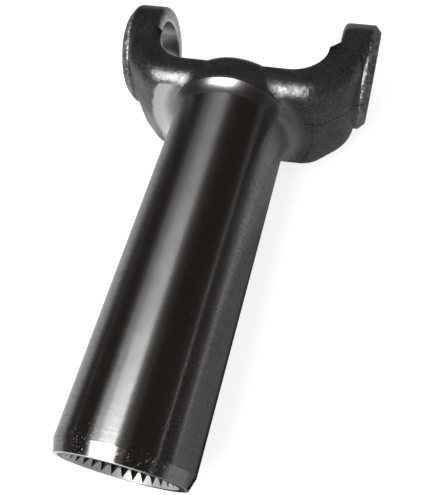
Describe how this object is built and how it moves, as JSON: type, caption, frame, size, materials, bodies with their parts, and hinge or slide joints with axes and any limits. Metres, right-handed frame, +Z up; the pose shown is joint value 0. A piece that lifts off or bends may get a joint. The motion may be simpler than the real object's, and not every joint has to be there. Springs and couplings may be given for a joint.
{
  "type": "driveshaft slip yoke",
  "caption": "Forged driveshaft slip yoke: a long ground barrel with an internal spline at its mouth, and forged ears bored in line for a universal joint.",
  "frame": {"origin": "joint centre, where the axis of the two ear bores meets the barrel's axis", "axes": "+X along the ear bores, +Y along the barrel's axis toward the ears, +Z up as the yoke lies on its side"},
  "size_m": [0.0972, 0.1806, 0.0474],
  "materials": {
    "forged_steel": "ground barrel, turned and bored seats, dark forging scale on the saddle and ears",
    "plug_steel": "plain pressed sheet"
  },
  "bodies": {
    "root": {"slip_yoke": "forged_steel", "expansion_plug": "plug_steel"}
  },
  "joints": []
}
